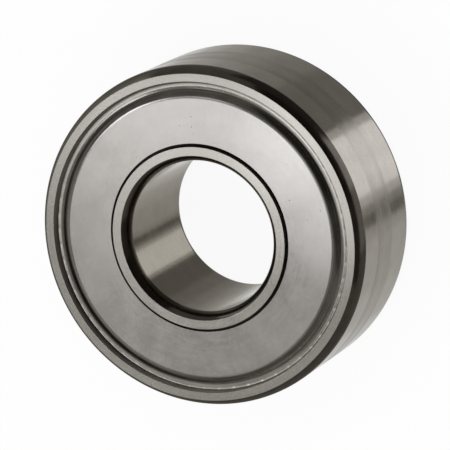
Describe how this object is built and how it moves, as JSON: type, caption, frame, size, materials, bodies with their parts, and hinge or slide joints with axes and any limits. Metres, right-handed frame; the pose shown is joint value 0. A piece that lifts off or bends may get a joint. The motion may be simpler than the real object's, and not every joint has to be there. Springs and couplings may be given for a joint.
{
  "type": "double row angular contact ball bearing",
  "caption": "Shielded double row angular contact ball bearing: thick outer ring, inner ring with a through bore, caged balls and a pressed steel shield on each side.",
  "frame": {"origin": "on the bearing axis, half way between the two end faces", "axes": "+Z along the bearing axis, out of the end face that the picture shows; the bearing lies on its other end face"},
  "size_m": [0.09, 0.09, 0.0364],
  "materials": {
    "ring_steel": "ground bearing steel, satin faces and bright outside diameter",
    "shield_steel": "pressed sheet steel, satin",
    "ball_steel": "polished",
    "cage_polyamide": "moulded, matt"
  },
  "bodies": {
    "housing_side": {"outer_ring": "ring_steel", "front_shield": "shield_steel", "rear_shield": "shield_steel"},
    "shaft_side": {"inner_ring": "ring_steel"},
    "front_cage": {"front_cage": "cage_polyamide"},
    "rear_cage": {"rear_cage": "cage_polyamide"},
    "front_ball_01": {"front_ball_01": "ball_steel"},
    "front_ball_02": {"front_ball_02": "ball_steel"},
    "front_ball_03": {"front_ball_03": "ball_steel"},
    "front_ball_04": {"front_ball_04": "ball_steel"},
    "front_ball_05": {"front_ball_05": "ball_steel"},
    "front_ball_06": {"front_ball_06": "ball_steel"},
    "front_ball_07": {"front_ball_07": "ball_steel"},
    "front_ball_08": {"front_ball_08": "ball_steel"},
    "front_ball_09": {"front_ball_09": "ball_steel"},
    "front_ball_10": {"front_ball_10": "ball_steel"},
    "front_ball_11": {"front_ball_11": "ball_steel"},
    "rear_ball_01": {"rear_ball_01": "ball_steel"},
    "rear_ball_02": {"rear_ball_02": "ball_steel"},
    "rear_ball_03": {"rear_ball_03": "ball_steel"},
    "rear_ball_04": {"rear_ball_04": "ball_steel"},
    "rear_ball_05": {"rear_ball_05": "ball_steel"},
    "rear_ball_06": {"rear_ball_06": "ball_steel"},
    "rear_ball_07": {"rear_ball_07": "ball_steel"},
    "rear_ball_08": {"rear_ball_08": "ball_steel"},
    "rear_ball_09": {"rear_ball_09": "ball_steel"},
    "rear_ball_10": {"rear_ball_10": "ball_steel"},
    "rear_ball_11": {"rear_ball_11": "ball_steel"}
  },
  "joints": [
    {"name": "inner_ring_spin", "type": "hinge", "parent": "housing_side", "child": "shaft_side", "pos_m": [0, 0, 0], "axis": [0, 0, 1], "continuous": true},
    {"name": "front_cage_spin", "type": "hinge", "parent": "housing_side", "child": "front_cage", "pos_m": [0, 0, 0], "axis": [0, 0, 1], "continuous": true},
    {"name": "rear_cage_spin", "type": "hinge", "parent": "housing_side", "child": "rear_cage", "pos_m": [0, 0, 0], "axis": [0, 0, 1], "continuous": true},
    {"name": "front_ball_01_spin", "type": "hinge", "parent": "front_cage", "child": "front_ball_01", "pos_m": [0.0325, 0, 0.0079], "axis": [0.5, 0, 0.866], "continuous": true},
    {"name": "front_ball_02_spin", "type": "hinge", "parent": "front_cage", "child": "front_ball_02", "pos_m": [0.02734, 0.01757, 0.0079], "axis": [0.4206, 0.2703, 0.866], "continuous": true},
    {"name": "front_ball_03_spin", "type": "hinge", "parent": "front_cage", "child": "front_ball_03", "pos_m": [0.0135, 0.02956, 0.0079], "axis": [0.2077, 0.4548, 0.866], "continuous": true},
    {"name": "front_ball_04_spin", "type": "hinge", "parent": "front_cage", "child": "front_ball_04", "pos_m": [-0.00463, 0.03217, 0.0079], "axis": [-0.0712, 0.4949, 0.866], "continuous": true},
    {"name": "front_ball_05_spin", "type": "hinge", "parent": "front_cage", "child": "front_ball_05", "pos_m": [-0.02128, 0.02456, 0.0079], "axis": [-0.3274, 0.3779, 0.866], "continuous": true},
    {"name": "front_ball_06_spin", "type": "hinge", "parent": "front_cage", "child": "front_ball_06", "pos_m": [-0.03118, 0.00916, 0.0079], "axis": [-0.4797, 0.1409, 0.866], "continuous": true},
    {"name": "front_ball_07_spin", "type": "hinge", "parent": "front_cage", "child": "front_ball_07", "pos_m": [-0.03118, -0.00916, 0.0079], "axis": [-0.4797, -0.1409, 0.866], "continuous": true},
    {"name": "front_ball_08_spin", "type": "hinge", "parent": "front_cage", "child": "front_ball_08", "pos_m": [-0.02128, -0.02456, 0.0079], "axis": [-0.3274, -0.3779, 0.866], "continuous": true},
    {"name": "front_ball_09_spin", "type": "hinge", "parent": "front_cage", "child": "front_ball_09", "pos_m": [-0.00463, -0.03217, 0.0079], "axis": [-0.0712, -0.4949, 0.866], "continuous": true},
    {"name": "front_ball_10_spin", "type": "hinge", "parent": "front_cage", "child": "front_ball_10", "pos_m": [0.0135, -0.02956, 0.0079], "axis": [0.2077, -0.4548, 0.866], "continuous": true},
    {"name": "front_ball_11_spin", "type": "hinge", "parent": "front_cage", "child": "front_ball_11", "pos_m": [0.02734, -0.01757, 0.0079], "axis": [0.4206, -0.2703, 0.866], "continuous": true},
    {"name": "rear_ball_01_spin", "type": "hinge", "parent": "rear_cage", "child": "rear_ball_01", "pos_m": [0.03118, 0.00916, -0.0079], "axis": [-0.4797, -0.1409, 0.866], "continuous": true},
    {"name": "rear_ball_02_spin", "type": "hinge", "parent": "rear_cage", "child": "rear_ball_02", "pos_m": [0.03118, -0.00916, -0.0079], "axis": [-0.4797, 0.1409, 0.866], "continuous": true},
    {"name": "rear_ball_03_spin", "type": "hinge", "parent": "rear_cage", "child": "rear_ball_03", "pos_m": [0.02128, -0.02456, -0.0079], "axis": [-0.3274, 0.3779, 0.866], "continuous": true},
    {"name": "rear_ball_04_spin", "type": "hinge", "parent": "rear_cage", "child": "rear_ball_04", "pos_m": [0.00463, -0.03217, -0.0079], "axis": [-0.0712, 0.4949, 0.866], "continuous": true},
    {"name": "rear_ball_05_spin", "type": "hinge", "parent": "rear_cage", "child": "rear_ball_05", "pos_m": [-0.0135, -0.02956, -0.0079], "axis": [0.2077, 0.4548, 0.866], "continuous": true},
    {"name": "rear_ball_06_spin", "type": "hinge", "parent": "rear_cage", "child": "rear_ball_06", "pos_m": [-0.02734, -0.01757, -0.0079], "axis": [0.4206, 0.2703, 0.866], "continuous": true},
    {"name": "rear_ball_07_spin", "type": "hinge", "parent": "rear_cage", "child": "rear_ball_07", "pos_m": [-0.0325, 0, -0.0079], "axis": [0.5, 0, 0.866], "continuous": true},
    {"name": "rear_ball_08_spin", "type": "hinge", "parent": "rear_cage", "child": "rear_ball_08", "pos_m": [-0.02734, 0.01757, -0.0079], "axis": [0.4206, -0.2703, 0.866], "continuous": true},
    {"name": "rear_ball_09_spin", "type": "hinge", "parent": "rear_cage", "child": "rear_ball_09", "pos_m": [-0.0135, 0.02956, -0.0079], "axis": [0.2077, -0.4548, 0.866], "continuous": true},
    {"name": "rear_ball_10_spin", "type": "hinge", "parent": "rear_cage", "child": "rear_ball_10", "pos_m": [0.00463, 0.03217, -0.0079], "axis": [-0.0712, -0.4949, 0.866], "continuous": true},
    {"name": "rear_ball_11_spin", "type": "hinge", "parent": "rear_cage", "child": "rear_ball_11", "pos_m": [0.02128, 0.02456, -0.0079], "axis": [-0.3274, -0.3779, 0.866], "continuous": true}
  ],
  "couplings": [
    {"joint": "front_cage_spin", "follows": "inner_ring_spin", "ratio": 0.4154},
    {"joint": "rear_cage_spin", "follows": "inner_ring_spin", "ratio": 0.4154},
    {"joint": "front_ball_01_spin", "follows": "inner_ring_spin", "ratio": -2.4858},
    {"joint": "front_ball_02_spin", "follows": "inner_ring_spin", "ratio": -2.4858},
    {"joint": "front_ball_03_spin", "follows": "inner_ring_spin", "ratio": -2.4858},
    {"joint": "front_ball_04_spin", "follows": "inner_ring_spin", "ratio": -2.4858},
    {"joint": "front_ball_05_spin", "follows": "inner_ring_spin", "ratio": -2.4858},
    {"joint": "front_ball_06_spin", "follows": "inner_ring_spin", "ratio": -2.4858},
    {"joint": "front_ball_07_spin", "follows": "inner_ring_spin", "ratio": -2.4858},
    {"joint": "front_ball_08_spin", "follows": "inner_ring_spin", "ratio": -2.4858},
    {"joint": "front_ball_09_spin", "follows": "inner_ring_spin", "ratio": -2.4858},
    {"joint": "front_ball_10_spin", "follows": "inner_ring_spin", "ratio": -2.4858},
    {"joint": "front_ball_11_spin", "follows": "inner_ring_spin", "ratio": -2.4858},
    {"joint": "rear_ball_01_spin", "follows": "inner_ring_spin", "ratio": -2.4858},
    {"joint": "rear_ball_02_spin", "follows": "inner_ring_spin", "ratio": -2.4858},
    {"joint": "rear_ball_03_spin", "follows": "inner_ring_spin", "ratio": -2.4858},
    {"joint": "rear_ball_04_spin", "follows": "inner_ring_spin", "ratio": -2.4858},
    {"joint": "rear_ball_05_spin", "follows": "inner_ring_spin", "ratio": -2.4858},
    {"joint": "rear_ball_06_spin", "follows": "inner_ring_spin", "ratio": -2.4858},
    {"joint": "rear_ball_07_spin", "follows": "inner_ring_spin", "ratio": -2.4858},
    {"joint": "rear_ball_08_spin", "follows": "inner_ring_spin", "ratio": -2.4858},
    {"joint": "rear_ball_09_spin", "follows": "inner_ring_spin", "ratio": -2.4858},
    {"joint": "rear_ball_10_spin", "follows": "inner_ring_spin", "ratio": -2.4858},
    {"joint": "rear_ball_11_spin", "follows": "inner_ring_spin", "ratio": -2.4858}
  ]
}
